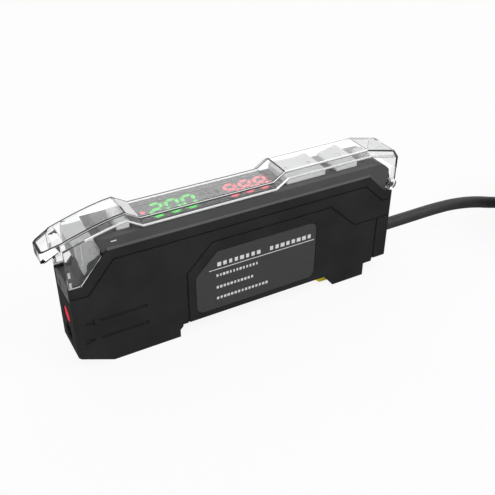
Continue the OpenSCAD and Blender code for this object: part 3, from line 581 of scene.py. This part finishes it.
class AMPLIFIER_OT_cable(bpy.types.Operator):
    """Cable from the rear wall, its stored coil with the tie, and the three leads"""

    bl_idname = "amplifier.cable"
    bl_label = "Cable"

    # Run of the cable behind the rear face: distance in millimetres and share of the height
    drop = ((0, 1), (5, 1), (11, 1), (17, 1), (22, 0.97), (26, 0.905), (30, 0.795), (34, 0.64),
            (38, 0.45), (42, 0.28), (46, 0.14), (50, 0.03), (53.1, 0), (55.6, 0))
    # Leads from the coil: colour, then points in shares of the coil's radius and millimetres above its top
    leads = {
        "brown": ((0.10, 0.035, 0.015), (0, .788, -1.5), (.176, .77, -.3), (.353, .712, .5), (.53, .606, .5),
                  (.66, .47, .5), (.741, .306, .5)),
        "blue": ((0.02, 0.06, 0.30), (0, .824, -.5), (.165, .83, .2), (.353, .8, .5), (.565, .694, .5),
                 (.741, .53, .5), (.859, .33, .5)),
        "black": ((0.02, 0.02, 0.021), (0, .859, -1.5), (.153, .894, -.3), (.353, .882, .5), (.6, .776, .5),
                  (.824, .6, .5), (.976, .376, .5)),
    }
    # Columns of the coil from the outside in, in degrees: run before the first climb, length of a climb,
    # its way up or down, and length of the move to the next column
    columns = ((345.0, 50.0, 1, 75.0), (300.0, 60.0, -1, 120.0), (275.0, 85.0, 1, 0.0))
    # Step along the turns, and what is left off at their end, in degrees
    turn_step, turn_end = 8.0, 5.0
    # Bare end of a lead: steps of its line, and radius as a share of the lead's diameter
    bare_steps, bare_radius = 4, 0.32

    def execute(self, context):
        settings, finish = context.scene.amplifier_cable, context.scene.amplifier_finish
        exit_point = Vector((REAR_X, 0.0, sum(corner[2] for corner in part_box("cable_bushing")) / 2))
        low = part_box("cable_coil")[0][2] + settings.diameter / 2
        run = [Vector((REAR_X + d * MM, 0.0, low + (exit_point.z - low) * h)) for d, h in self.drop]
        centre = Vector((run[-1].x, -settings.coil - settings.diameter, 0.0))
        line = smooth_line(run) + self.turns(settings, centre, low)[1:]
        cord = self.curve(context, line, settings.diameter)
        sheath = Finish("cable_sheath", Specular_IOR_Level=0.3).mottle(finish.cable, 0.1, 300.0)
        sheath.roughen(0.42, 0.55, 700.0).grain(2600.0, 1.2e-5, detail=3.0)
        cord.data.materials.append(sheath.material)
        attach(cord, "case")
        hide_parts("cable", "cable_coil")
        leads = self.strands(settings, centre)
        dress(moulded("tie_nylon", (0.012, 0.012, 0.012), 0.3, 0.42, 0.4), "cable_tie")
        dress(moulded("bushing_rubber", (0.016, 0.016, 0.017), 0.6, 0.72, 0.25), "cable_bushing")
        whole = sum((b - a).length for a, b in zip(line, line[1:]))
        return {"FINISHED"}

    def turns(self, settings, centre, low):
        """Turns of the coil: up the outer column, down the middle one, up the inner one."""
        pitch = settings.diameter
        rises, moves = [], []
        clock = 0.0
        for start, span, way, move in self.columns:
            clock += start
            for _ in range(settings.layers - 1):
                rises.append((clock, span, way * pitch))
                clock += 360.0
            if move:
                clock -= move
                moves.append((clock, move))
        end = clock - self.turn_end

        def eased(angle, start, span):
            t = min(1.0, max(0.0, (angle - start) / span))
            return t * t * (3 - 2 * t)

        points = []
        for k in range(int(end / self.turn_step) + 1):
            angle = k * self.turn_step
            radius = settings.coil + pitch - sum(pitch * eased(angle, *move) for move in moves)
            height = low + sum(step * eased(angle, start, span) for start, span, step in rises)
            turn = math.radians(angle)
            points.append(centre + Vector((radius * math.sin(turn), radius * math.cos(turn), height)))
        return points

    def curve(self, context, line, diameter):
        data = bpy.data.curves.new("cable_cord", "CURVE")
        data.dimensions = "3D"
        data.bevel_depth = diameter / 2
        data.bevel_resolution = 3
        data.use_fill_caps = True
        spline = data.splines.new("POLY")
        spline.points.add(len(line) - 1)
        for point, place in zip(spline.points, line):
            point.co = (*place, 1.0)
        made = bpy.data.objects.new("cable_cord", data)
        context.scene.collection.objects.link(made)
        return made

    def strands(self, settings, centre):
        """The three leads, each with a bare end of copper."""
        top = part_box("cable_coil")[1][2]
        shape, sleeves = bmesh.new(), []
        for i, (name, (shade, *path)) in enumerate(self.leads.items()):
            sleeves.append(moulded(f"lead_{name}", shade, 0.35, 0.45, 0.4))
            line = smooth_line([
                centre + Vector((a * settings.coil, b * settings.coil, top + c * MM)) for a, b, c in path
            ])
            cut = len(line) - 1 - self.bare_steps
            add_tube(shape, line[:cut + 1], settings.lead / 2, 12, i)
            add_tube(shape, line[cut:], self.bare_radius * settings.lead, 8, len(self.leads))
        copper = metal("lead_copper", (0.80, 0.42, 0.24), 0.25, 0.4, (1, 1, 6))
        made = piece("cable_leads", shape, "case", "lead_sleeve", *sleeves, copper)
        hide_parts("lead_wires")
        return made


class AMPLIFIER_OT_case(bpy.types.Operator):
    """Moulded case and the printed label"""

    bl_idname = "amplifier.case"
    bl_label = "Case"

    # Rows of bars on the label: start, end, base and height in millimetres, number, unevenness, step of the
    # seed, and printed share of the pitch
    bars = (
        (30.4, 41.0, 14.95, 0.95, 8, 0.3, 0, 0.72), (42.8, 53.6, 14.95, 0.95, 8, 0.3, 1, 0.72),
        (28.7, 54.2, 14.2, 0.17, 1, 0.0, 0, 1.0), (30.2, 40.3, 12.4, 0.62, 13, 0.4, 2, 0.72),
        (30.2, 39.2, 9.4, 0.62, 11, 0.4, 3, 0.72), (30.2, 42.8, 6.6, 0.62, 15, 0.4, 4, 0.72),
    )

    def execute(self, context):
        finish, printing = context.scene.amplifier_finish, context.scene.amplifier_print
        dress(moulded("case_plastic", finish.case, 0.44, 0.54, 0.08, spread=0.12), "case_shell")
        film = Finish("label_film", Specular_IOR_Level=0.3).mottle(finish.label, 0.05, 1800.0)
        dress(film.roughen(0.34, 0.44, 500.0).grain(5200.0, 2e-6, 6e-5).material, "label_plate")
        self.label(finish, printing)
        return {"FINISHED"}

    def label(self, finish, printing):
        """Title bars over a rule, and three rows of smaller bars."""
        thick = printing.thickness
        y = (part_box("label_plate")[0][1] - thick / 2) / MM
        rows = []
        for start, end, base, height, count, spread, seed, fill in self.bars:
            pitch = (end - start) / count
            place = at(start + pitch / 2, y, base + height / 2)
            size = Vector((pitch * fill * MM, thick, height * MM))
            rows.append((place, (pitch * MM, 0.0, 0.0), count, size, spread, printing.seed + seed))
        ink = printed("label_ink", finish.ink, 2400.0)
        rows_piece("label_print", rows, "case", "label_grey", ink)


class AMPLIFIER_OT_housing(bpy.types.Operator):
    """Grey upper housing with painted light and shade at its front, and its printed marks"""

    bl_idname = "amplifier.housing"
    bl_label = "Housing"

    # Painted light and shade of the front part, whose length is in millimetres: share of the part, and of the
    # housing's colour; paler on the front plate as painted light, darker in the lever's pocket as painted
    # shade
    front = 10.0
    tones = ((0.03, 1.9), (0.06, 0.4), (0.58, 0.4), (0.63, 1.0))
    # Corners of the dash on the near side, in millimetres behind the front face and above the foot
    dash = ((9.15, 27.38), (10.25, 27.61))
    # Bars on the deck, in millimetres: sides of one; place of a row, step across, number and unevenness
    bar = (0.34, 0.2)
    bars = ((9.9, -1.0, 0.42, 6, 0.3), (65.4, -2.3, 4.6, 2, 0.0), (67.9, -2.3, 4.6, 2, 0.0))

    def execute(self, context):
        finish, printing = context.scene.amplifier_finish, context.scene.amplifier_print
        dress(self.plastic(finish), "upper_housing")
        self.side_dash(printing, printed("deck_ink", finish.ink))
        self.deck_marks(printing, printed("deck_ink_pale", [0.4 * c for c in finish.ink]))
        return {"FINISHED"}

    def plastic(self, finish):
        """Housing plastic with painted light, paler on the front plate, and painted shade, darker in the
        pocket of the lever.
        """
        made = Finish("housing_plastic", Specular_IOR_Level=0.3)
        # Painted light and shade, set by distance behind the front face
        ends = (at(behind, 0, 0).x for behind in (0, self.front))
        behind = made.between(made.parts()["X"], 0.0, 1.0, ends)
        painted_light_shades = [(place, [share * c for c in finish.housing]) for place, share in self.tones]
        flow = {0: made.ramp(behind, *painted_light_shades), "Scale": made.between(made.noise(140.0, 3.0), 0.92, 1.08)}
        made.join(made.node("ShaderNodeVectorMath", flow, operation="SCALE"), "Base Color")
        return made.roughen(0.40, 0.5, 420.0).grain(3600.0, finish.grain, finish.edge, 3.0).material

    def side_dash(self, printing, ink):
        """The white dash on the near side, level with the button under the front of the cover."""
        printer = Printer("upper_housing", (0, 1, 0), printing.thickness)
        printer.mark(corners(*(at(behind, 0, height).xz for behind, height in self.dash)))
        piece("side_dash", printer.shape, "case", "deck_grey", ink)

    def deck_marks(self, printing, ink):
        """Short bars beside the front button, and the two ends of the slide switch."""
        z = (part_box("display_window")[1][2] + printing.thickness / 2) / MM
        size = Vector((*(side * MM for side in self.bar), printing.thickness))
        rows = [
            (at(behind, across, z), (0.0, step * MM, 0.0), count, size, spread, printing.seed)
            for behind, across, step, count, spread in self.bars
        ]
        rows_piece("deck_print", rows, "case", "deck_grey", ink)


class AMPLIFIER_OT_display(bpy.types.Operator):
    """Smoked window, module, lit digits and unlit signs"""

    bl_idname = "amplifier.display"
    bl_label = "Display"

    # Bars of a digit: place across and along it, and whether the bar stands
    bars = ((0, 1, 0), (0.5, 0.5, 1), (0.5, -0.5, 1), (0, -1, 0), (-0.5, -0.5, 1), (-0.5, 0.5, 1), (0, 0, 0))
    # Lit bars of each figure
    figures = {"0": (0, 1, 2, 3, 4, 5), "2": (0, 1, 3, 4, 6), "8": range(7), "9": (0, 1, 2, 3, 5, 6)}
    # Sizes of a digit, in millimetres: width of a bar, gap at its ends, gap between digits; and the slant
    bar, split, apart, slant = 0.78, 0.22, 0.4, 0.13
    # Rows: figures, and what they are wider by at each end than in the module, in millimetres
    rows = {"green": ("200", (0.3, 0.4)), "red": ("988", (0.1, 0.45))}
    # Unlit signs, in millimetres: number and pitch, first ring with the share of its hollow, first dash
    sign_count, sign_pitch = 3, 1.5
    ring_centre, ring_size, ring_hollow = (30.3, 0.6), (1.0, 1.7), (0.55, 0.6)
    dash_corner, dash_size = (29.85, -1.6), (0.9, 0.4)

    def execute(self, context):
        finish, printing = context.scene.amplifier_finish, context.scene.amplifier_print
        dress(clear("window_smoke", finish.window, 1.3, 0.0, 0.004, 6e-5), "display_window")
        face = Finish("module_face", Specular_IOR_Level=0.2).mottle((0.02, 0.02, 0.021), 0.06, 260.0)
        dress(face.roughen(0.4, 0.5, 420.0).material, "display_module")
        lights = {name: lit(f"digit_{name}", getattr(finish, name), finish.glow) for name in self.rows}
        dress(lights["red"], "output_led")
        for name, (text, wider) in self.rows.items():
            self.row(name, text, wider, lights[name])
        self.signs(printing)
        return {"FINISHED"}

    def row(self, name, text, wider, light):
        """Lit digits in the place of a row of the module, a little wider at its two ends."""
        low, high = (Vector(corner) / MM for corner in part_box(f"{name}_digits"))
        start, end = low.x - wider[0], high.x + wider[1]
        tall = high.y - low.y
        lean = self.slant * (tall - self.bar)
        wide = (end - start - lean - (len(text) - 1) * self.apart) / len(text)
        reach = (wide - self.bar, (tall - self.bar) / 2)
        shape = bmesh.new()
        for place, figure in enumerate(text):
            middle = start + lean / 2 + wide / 2 + place * (wide + self.apart)
            for across, along, stands in (self.bars[k] for k in self.figures[figure]):
                half, side = reach[stands] / 2 - self.split, self.bar / 2
                outline = ((-half, 0), (side - half, side), (half - side, side), (half, 0),
                           (half - side, -side), (side - half, -side))
                if stands:
                    outline = [(-y, x) for x, y in outline]
                spots = [(across * reach[0] + x, along * reach[1] + y) for x, y in outline]
                spots = [(middle + x + self.slant * y, y) for x, y in spots]
                skin(shape, [[Vector((*spot, z)) * MM for spot in spots] for z in (low.z, high.z)])
        made = piece(f"{name}_figures", shape, "case", f"{name}_light", light)
        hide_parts(f"{name}_digits")

    def signs(self, printing):
        """Small unlit signs on the window, between the two rows."""
        grey = Finish("unlit_sign", Specular_IOR_Level=0.05, Roughness=0.5)
        grey.mottle((0.03, 0.03, 0.031), 0.1, 1500.0)
        printer = Printer("display_window", (0, 0, -1), printing.thickness)
        ring = [side * MM for side in self.ring_size]
        hollow = [side * share for side, share in zip(ring, self.ring_hollow)]
        for k in range(self.sign_count):
            step = k * self.sign_pitch
            centre = at(self.ring_centre[0] + step, self.ring_centre[1], 0)
            printer.mark(oval(centre, *ring, 16), oval(centre, *hollow, 16))
            low = at(self.dash_corner[0] + step, self.dash_corner[1], 0).xy
            printer.mark(corners(low, low + Vector(self.dash_size) * MM))
        piece("unlit_signs", printer.shape, "case", "black_plastic", grey.material)


class AMPLIFIER_OT_controls(bpy.types.Operator):
    """Buttons, rocker and slide knob with their marks"""

    bl_idname = "amplifier.controls"
    bl_label = "Controls"

    # Ovals on the buttons: body of the button, place across it, width and height in millimetres
    rings = {"mode_button": ("mode", -1.1, 0.9, 1.8), "set_button": ("set", 0.0, 1.4, 1.6)}
    # Arrows on the rocker: distance from its ends, half length and half width in millimetres
    arrow = (1.7, 0.4, 0.55)

    def execute(self, context):
        finish, printing = context.scene.amplifier_finish, context.scene.amplifier_print
        grey = moulded("control_plastic", finish.control, 0.36, 0.46, 0.4, grain=3800.0, spread=0.025)
        dress(grey, "mode_button", "rocker_button", "set_button", "slide_knob")
        ink = printed("control_ink", [0.6 * c for c in finish.control])
        self.ovals(printing, ink)
        self.arrows(printing, ink)
        return {"FINISHED"}

    def ovals(self, printing, ink):
        """An oval line on the front button and on the set button."""
        line = 2 * printing.line
        for button, (body, *sizes) in self.rings.items():
            across, wide, high = (size * MM for size in sizes)
            low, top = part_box(button)
            centre = ((low[0] + top[0]) / 2, across)
            printer = Printer(button, (0, 0, -1), printing.thickness)
            printer.mark(oval(centre, wide, high), oval(centre, wide - line, high - line))
            piece(f"{body}_mark", printer.shape, body, "control_grey", ink)

    def arrows(self, printing, ink):
        """Up and down triangles at the ends of the rocker."""
        low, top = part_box("rocker_button")
        printer = Printer("rocker_button", (0, 0, -1), printing.thickness)
        inset, reach, half = (size * MM for size in self.arrow)
        for x, tip in ((low[0] + inset, -reach), (top[0] - inset, reach)):
            printer.mark([(x + tip, 0.0), (x - tip, half), (x - tip, 0.0), (x - tip, -half)])
        piece("rocker_marks", printer.shape, "rocker", "control_grey", ink)


class AMPLIFIER_OT_cover(bpy.types.Operator):
    """Clear hinged dust cover, with painted highlights and painted shade along its edges"""

    bl_idname = "amplifier.cover"
    bl_label = "Cover"

    # Lower edge of the roof along the unit, in millimetres behind the front face and above the foot
    rim = ((4.3, 29.097), (6.35, 29.66), (8.433, 30.17), (10.517, 30.59), (12.6, 30.85), (15.6, 29.05),
           (44.4, 29.05), (47.2, 30.85), (67.8, 30.85), (74.4, 29.33))
    # Folds beside the roof's flat top: over the display, over the buttons, and along the front hump
    narrow = ((12.6, 32.0), (15.6, 30.2), (44.4, 30.2), (47.2, 32.0))
    wide = ((47.2, 32.0), (67.8, 32.0))
    hump = ((0.1, 28.934), (2.183, 29.611), (4.267, 30.241), (6.35, 30.814), (8.433, 31.319),
            (10.517, 31.737), (12.6, 32.0))
    # Outer and inner line of the painted shade border round the tab: distance behind the front face, and from
    # the middle
    tab_outer = ((0.1, 3.48), (-2.88, 2.68), (-3.48, 2.18))
    tab_inner = ((0.1, 3.1), (-2.64, 2.3), (-3.0, 1.96))
    # Top of the tab, in millimetres: its root, the height there, and the rise per length
    tab_root, tab_height, tab_rise = 0.1, 28.9, 1.5 / 3.6
    # Pale sheet of painted highlight on the ramp, in millimetres: its two ends behind the front face, and
    # half its width
    ramp_ends, ramp_half = (13.1, 15.5), 3.17
    # Half the thickness of the painted shade border and the painted highlight on the ramp, in millimetres
    sheet = 0.02
    # Painted highlights on the side walls, in millimetres: distance of a wall from the middle; place of a
    # row, step up, number, and size of a highlight
    wall = 4.98
    marks = ((0.53, 22.95, -2.3, 2, (0.5, 0.03, 1.3)), (1.25, 19.95, 0.0, 1, (2.1, 0.03, 0.24)))
    # Sections of the strips of painted highlight and painted shade: distance from the middle, and height over
    # the line
    rim_section = ((4.6, -0.08), (4.985, -0.08), (4.985, 0.172), (4.75, 0.33), (4.6, 0.2))
    narrow_section = ((3.44, -0.04), (3.44, 0.01), (3.5, 0.01), (3.6, -0.057), (3.6, -0.11), (3.5, -0.04))
    dark_section = ((3.18, -0.03), (3.43, -0.03), (3.43, 0.012), (3.18, 0.012))
    hump_dark = ((3.2, -0.03), (3.2, 0.012), (3.5, 0.012), (3.57, -0.035), (3.57, -0.09), (3.5, -0.04))
    hump_bright = ((3.585, -0.1), (3.585, -0.047), (3.66, -0.097), (3.66, -0.15))
    wide_section = ((3.3, -0.05), (3.3, 0.01), (3.5, 0.01), (3.72, -0.135), (3.72, -0.2), (3.5, -0.05))
    # Strips of painted highlight: mirror strips along the rims and folds of the roof
    painted_highlight_strips = {"cover_rims": (rim, rim_section), "cover_folds": (narrow, narrow_section),
                   "hump_folds": (hump, hump_bright), "cover_crests": (wide, wide_section)}
    # Strips of painted shade: dark strips beside the folds of the roof
    painted_shade_strips = {"cover_lines": (narrow, dark_section), "hump_lines": (hump, hump_dark)}

    def execute(self, context):
        finish = context.scene.amplifier_finish
        dress(clear("cover_plastic", finish.cover, 1.585, 0.0, 0.004, 1e-4), "dust_cover")
        # Pale sheets painted as highlights on the ramp and on the side walls
        painted_pale_highlight = Finish("cover_frost", IOR=1.49, Transmission_Weight=0.1)
        painted_pale_highlight.mottle([0.97 * c for c in finish.cover], 0.03, 1500.0).roughen(0.3, 0.45, 1200.0)
        painted_pale_highlight.grain(3000.0, 4e-6)
        # Mirror strips painted as highlights along the rims and folds
        painted_glint = Finish("cover_glint", Metallic=1.0)
        painted_glint.mottle([0.82 * c for c in finish.cover], 0.04, 1500.0).roughen(0.06, 0.12, 1200.0)
        # Dark strips painted as shade beside the folds and round the tab
        painted_shade = Finish("cover_shade", Specular_IOR_Level=0.1)
        painted_shade.mottle((0.03, 0.03, 0.031), 0.1, 1500.0).roughen(0.15, 0.25, 1200.0)
        for trim, made in ((self.painted_highlight_strips, painted_glint), (self.painted_shade_strips, painted_shade)):
            for name, (line, section) in trim.items():
                self.edges(name, line, section, made.material)
        self.tab_border(painted_shade.material)
        self.ramp(painted_pale_highlight.material)
        self.wall_marks(painted_pale_highlight.material)
        return {"FINISHED"}

    def slab(self, name, loops, finish):
        """A thin sheet between two lines of points that lie on the cover."""
        shape = bmesh.new()
        lift = Vector((0.0, 0.0, self.sheet * MM))
        skin(shape, [(a - lift, b - lift, b + lift, a + lift) for a, b in zip(*loops)])
        piece(name, shape, "cover", "clear_cover", finish)

    def tab_border(self, painted_shade):
        """Painted shade: a dark border round the top of the pull tab."""
        def line(half):
            both = [*half, *((d, -y) for d, y in reversed(half))]
            return [at(d, y, self.tab_height + (d - self.tab_root) * self.tab_rise) for d, y in both]

        self.slab("tab_border", (line(self.tab_outer), line(self.tab_inner)), painted_shade)

    def ramp(self, painted_pale_highlight):
        """Painted highlight: a pale sheet on the ramp between the front hump and the display."""
        (start, top), (end, foot) = self.narrow[:2]
        fall = (top - foot) / (end - start)
        sides = (-self.ramp_half, self.ramp_half)
        ends = [[at(d, y, top - (d - start) * fall) for y in sides] for d in self.ramp_ends]
        self.slab("cover_ramp", ends, painted_pale_highlight)

    def wall_marks(self, painted_pale_highlight):
        """Painted highlights: pale marks where the front edges of the side walls catch the light."""
        rows = [
            (at(behind, y, height), (0.0, 0.0, step * MM), count, Vector(size) * MM, 0.0, 0)
            for y in (-self.wall, self.wall)
            for behind, height, step, count, size in self.marks
        ]
        rows_piece("wall_marks", rows, "cover", "clear_cover", painted_pale_highlight)

    def edges(self, name, line, section, finish):
        """A strip of painted highlight or painted shade, as its finish gives, along a line of the roof, on
        both sides.
        """
        shape = bmesh.new()
        for side in (-1, 1):
            skin(shape, [[at(d, side * y, z + h) for y, h in section] for d, z in line])
        piece(name, shape, "cover", "clear_cover", finish)


class AMPLIFIER_OT_ports(bpy.types.Operator):
    """Fibre ports, the guide behind them and the lock lever"""

    bl_idname = "amplifier.ports"
    bl_label = "Fibre ports"

    # Distances from the middle of the sending bore at which its painted glow fades and ends, in millimetres
    fade = (1.3, 1.8)

    def execute(self, context):
        finish = context.scene.amplifier_finish
        # The LED gives real light; on the sending ring the same glow is painted light
        dress(lit("port_light", finish.port, 0.85), "send_ring", "emitter_led")
        dress(moulded("port_dark", (0.006, 0.006, 0.006), 0.3, 0.4, 0.3), "receive_ring")
        dress(clear("receiver_lens", (0.30, 0.30, 0.34), 1.5, 0.05, 0.1, 8e-5), "receiver_diode")
        dress(self.guide(finish), "fibre_block")
        # Painted shade: the lever is the controls' grey, darkened for the shade of the cover over it
        shade = [0.7 * c for c in finish.control]
        dress(moulded("lever_plastic", shade, 0.34, 0.44, 0.4, grain=3600.0, spread=0.025), "lock_lever")
        dress(metal("lever_steel", (0.43, 0.425, 0.42), 0.25, 0.4, (6, 1, 6)), "lever_pin")
        return {"FINISHED"}

    def guide(self, finish):
        """Black guide block, with painted red light of the LED inside the sending bore."""
        low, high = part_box("send_ring")
        made = Finish("fibre_guide", Specular_IOR_Level=0.3, Emission_Strength=0.6)
        made.mottle((0.012, 0.012, 0.012), 0.1, 300.0).roughen(0.4, 0.5, 500.0)
        made.grain(3000.0, 6e-6, detail=3.0)
        place, middle = made.parts(), (0.0, 0.0, (low[2] + high[2]) / 2)
        flat = made.node("ShaderNodeCombineXYZ", {axis: place[axis] for axis in "YZ"})
        away = made.node("ShaderNodeVectorMath", {0: flat, 1: middle}, operation="DISTANCE").outputs["Value"]
        near = made.between(away, 0.0, 1.0, (distance * MM for distance in self.fade))
        shade = made.ramp(near, (0.0, finish.port), (1.0, (0.0, 0.0, 0.0)))
        return made.join(shade, "Emission Color").material


class AMPLIFIER_OT_latch(bpy.types.Operator):
    """Yellow rail latch and its spring"""

    bl_idname = "amplifier.latch"
    bl_label = "Rail latch"

    # Spring: radius of its wire in millimetres, turns, and steps of a turn
    wire, turns, steps = 0.1, 6, 20

    def execute(self, context):
        finish = context.scene.amplifier_finish
        dress(moulded("latch_plastic", finish.latch, 0.34, 0.44, 0.4, grain=3400.0, spread=0.05), "din_latch")
        self.spring()
        return {"FINISHED"}

    def spring(self):
        """Wound wire behind the latch, made at one length; on the unit it shortens as the latch is drawn
        back.
        """
        low, high = (Vector(corner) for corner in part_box("latch_spring"))
        wire, count = self.wire * MM, self.turns * self.steps
        radius = (high.z - low.z) / 2 - wire
        middle, reach = (low + high) / 2, high.x - low.x - 2 * wire
        line = []
        for k in range(count + 1):
            turn = math.tau * k / self.steps
            spoke = Vector((0.0, math.cos(turn), math.sin(turn))) * radius
            line.append(Vector((low.x + wire + reach * k / count, middle.y, middle.z)) + spoke)
        shape = bmesh.new()
        add_tube(shape, line, wire, 10)
        steel = metal("spring_steel", (0.58, 0.57, 0.55), 0.22, 0.36, (1, 6, 6))
        wound = piece("latch_coil", shape, "case", "steel", steel)
        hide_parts("latch_spring")
        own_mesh(wound)


class AMPLIFIER_OT_boards(bpy.types.Operator):
    """Circuit boards with their parts, inside the case"""

    bl_idname = "amplifier.boards"
    bl_label = "Boards"

    def execute(self, context):
        dress(self.board(), "main_board", "display_board")
        dress(moulded("chip_black", (0.012, 0.012, 0.013), 0.5, 0.6, 0.3), "board_chips")
        dress(moulded("header_black", (0.016, 0.016, 0.016), 0.35, 0.45, 0.4), "board_header")
        dress(metal("switch_steel", (0.50, 0.50, 0.50), 0.3, 0.42, (1, 5, 5)), "slide_switch_body")
        dress(moulded("switch_black", (0.02, 0.02, 0.021), 0.4, 0.5, 0.35), "tact_switches")
        return {"FINISHED"}

    def board(self):
        """Green solder resist over copper tracks."""
        made = Finish("board_resist", Specular_IOR_Level=0.5)
        cells = made.node("ShaderNodeTexVoronoi", {"Vector": made.coords, "Scale": 420.0},
                          feature="DISTANCE_TO_EDGE", distance="MANHATTAN").outputs["Distance"]
        raised, flat = (0.02, 0.17, 0.06), (0.008, 0.085, 0.03)
        made.join(made.ramp(cells, (0.05, raised), (0.09, flat)), "Base Color")
        return made.roughen(0.22, 0.34, 600.0).texture(cells, 1e-5).material


OPERATORS = (
    AMPLIFIER_OT_stage, AMPLIFIER_OT_cable, AMPLIFIER_OT_case, AMPLIFIER_OT_housing, AMPLIFIER_OT_display,
    AMPLIFIER_OT_controls, AMPLIFIER_OT_cover, AMPLIFIER_OT_ports, AMPLIFIER_OT_latch, AMPLIFIER_OT_boards,
)


class AMPLIFIER_PT_panel(bpy.types.Panel):
    """Pieces and settings of the amplifier"""

    bl_label = "Fibre Sensor Amplifier"
    bl_idname = "AMPLIFIER_PT_panel"
    bl_space_type = "VIEW_3D"
    bl_region_type = "UI"
    bl_category = "Amplifier"

    def draw(self, context):
        for operator in OPERATORS:
            self.layout.operator(operator.bl_idname)
        for name in GROUPS:
            box = self.layout.box()
            settings = getattr(context.scene, name)
            for key in settings.__annotations__:
                box.prop(settings, key)


CLASSES = (*GROUPS.values(), *OPERATORS, AMPLIFIER_PT_panel)


def register():
    for item in CLASSES:
        bpy.utils.register_class(item)
    for name, group in GROUPS.items():
        setattr(bpy.types.Scene, name, PointerProperty(type=group))


def unregister():
    for name in GROUPS:
        delattr(bpy.types.Scene, name)
    for item in reversed(CLASSES):
        bpy.utils.unregister_class(item)


def main():
    register()
    bpy.ops.amplifier.stage()
    bpy.ops.amplifier.cable()
    bpy.ops.amplifier.case()
    bpy.ops.amplifier.housing()
    bpy.ops.amplifier.display()
    bpy.ops.amplifier.controls()
    bpy.ops.amplifier.cover()
    bpy.ops.amplifier.ports()
    bpy.ops.amplifier.latch()
    bpy.ops.amplifier.boards()
    boxes = {"cad": CAD_BOX, "visual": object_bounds()}
    {name: [list(map(float, corner)) for corner in box] for name, box in boxes.items()}


if __name__ == "__main__":
    main()
